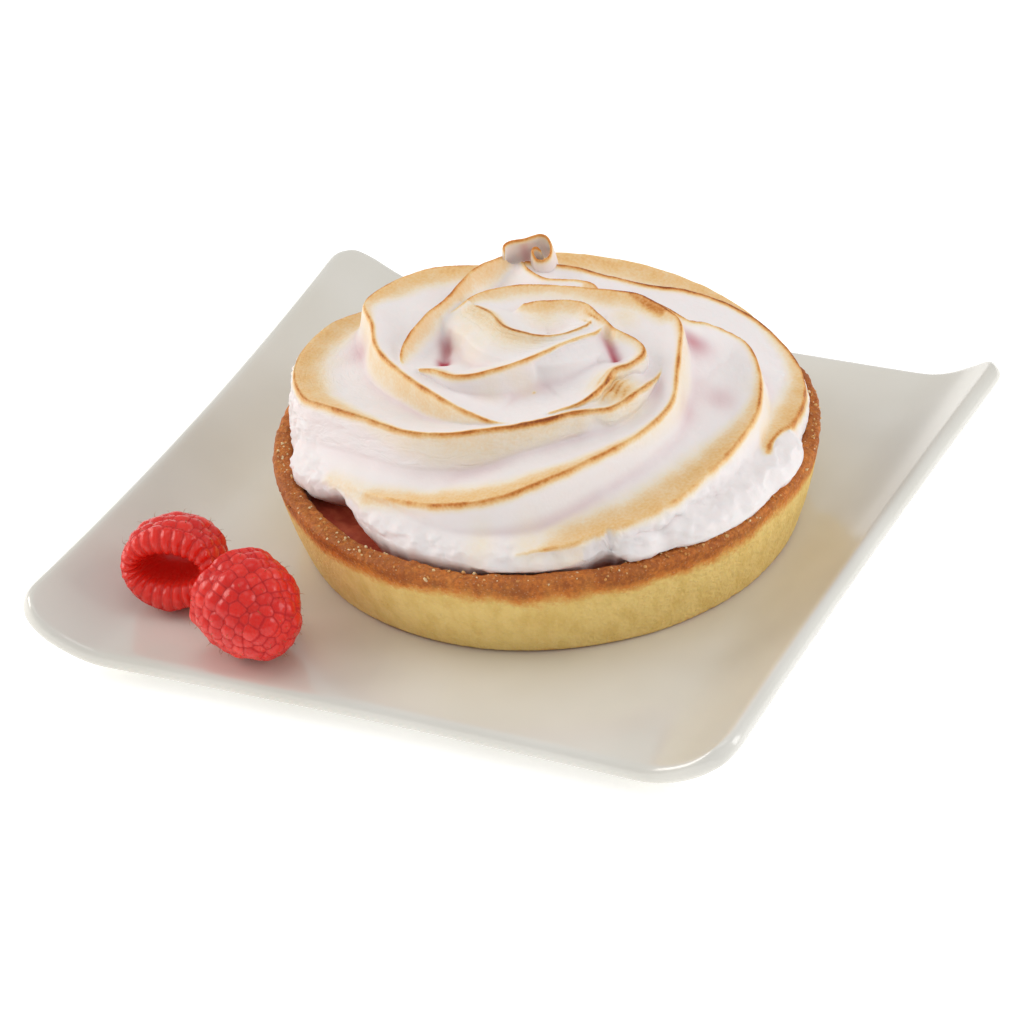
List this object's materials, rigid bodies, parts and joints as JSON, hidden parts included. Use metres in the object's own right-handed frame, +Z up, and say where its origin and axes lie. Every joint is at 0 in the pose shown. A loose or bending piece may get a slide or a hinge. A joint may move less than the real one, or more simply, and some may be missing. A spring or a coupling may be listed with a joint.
{
  "type": "raspberry meringue tartlet on a square dish",
  "caption": "Round shortcrust tartlet with raspberry filling under a piped, toasted meringue rose, on a square dish with curled sides beside fresh raspberries.",
  "frame": {"origin": "middle of the dish's outline, on the plane that its foot stands on", "axes": "+X across the dish from one curled side to the other, +Y to the dish's back edge, +Z up"},
  "size_m": [0.1408, 0.1342, 0.0489],
  "materials": {
    "porcelain": "off-white glazed porcelain",
    "shortcrust": "baked golden shortcrust, browner at the rim",
    "raspberry_filling": "dark red set raspberry filling",
    "meringue": "pale pink soft meringue, toasted brown along its crests",
    "raspberry": "fresh red raspberry drupelets"
  },
  "bodies": {
    "root": {"dish": "porcelain", "case": "shortcrust", "filling": "raspberry_filling", "meringue": "meringue", "raspberry_closed": "raspberry", "raspberry_open": "raspberry"}
  },
  "joints": []
}
